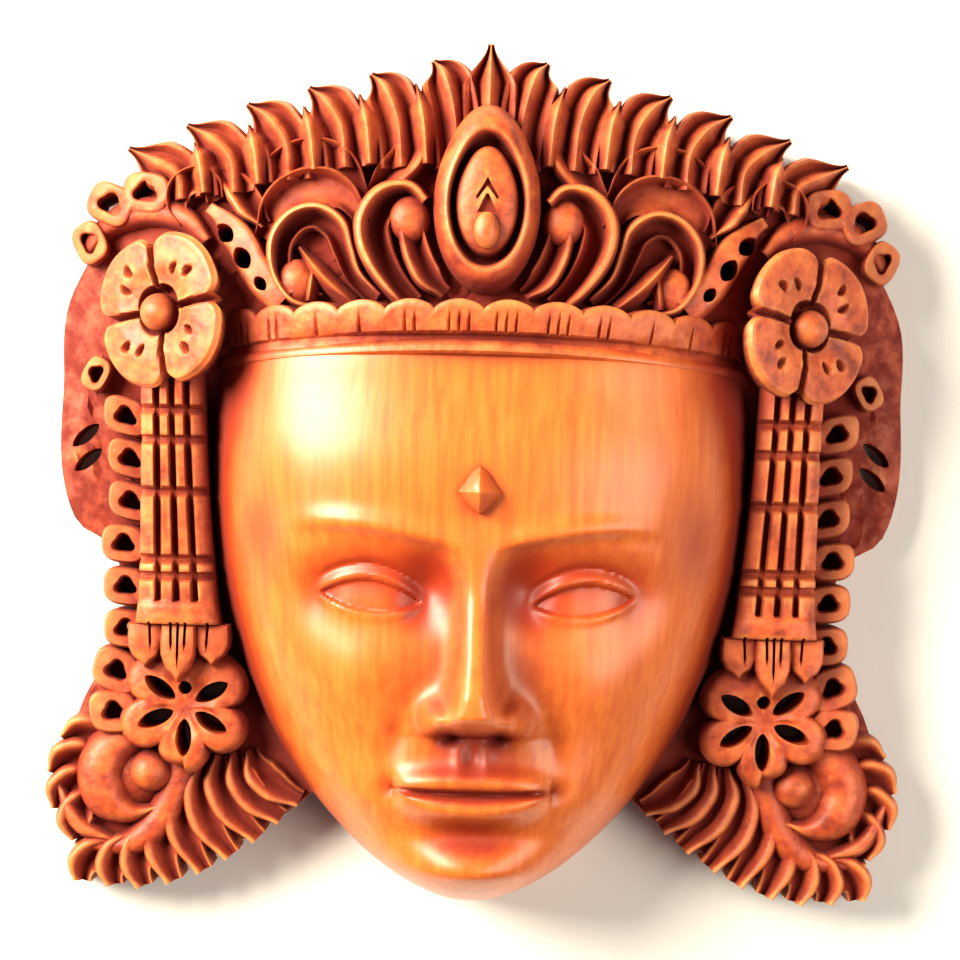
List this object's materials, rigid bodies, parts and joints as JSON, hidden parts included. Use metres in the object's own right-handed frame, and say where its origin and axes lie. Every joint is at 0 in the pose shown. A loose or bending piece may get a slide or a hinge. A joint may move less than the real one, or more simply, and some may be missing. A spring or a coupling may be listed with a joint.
{
  "type": "carved wooden wall mask",
  "caption": "Wall mask carved from one block of wood: a crowned, calm face with ear flowers, ear tassels and leaf wings, hollow behind the face.",
  "frame": {"origin": "middle of the flat back plane's bounding box, on the back plane that the mask lies on", "axes": "+Z the way the face looks, +Y up the face towards the crown, +X to the right of someone who looks at the face"},
  "size_m": [0.2954, 0.29, 0.0892],
  "materials": {
    "varnished_wood": "satin varnish over a red-brown stain, darker in the recesses"
  },
  "bodies": {
    "root": {"mask": "varnished_wood"}
  },
  "joints": []
}
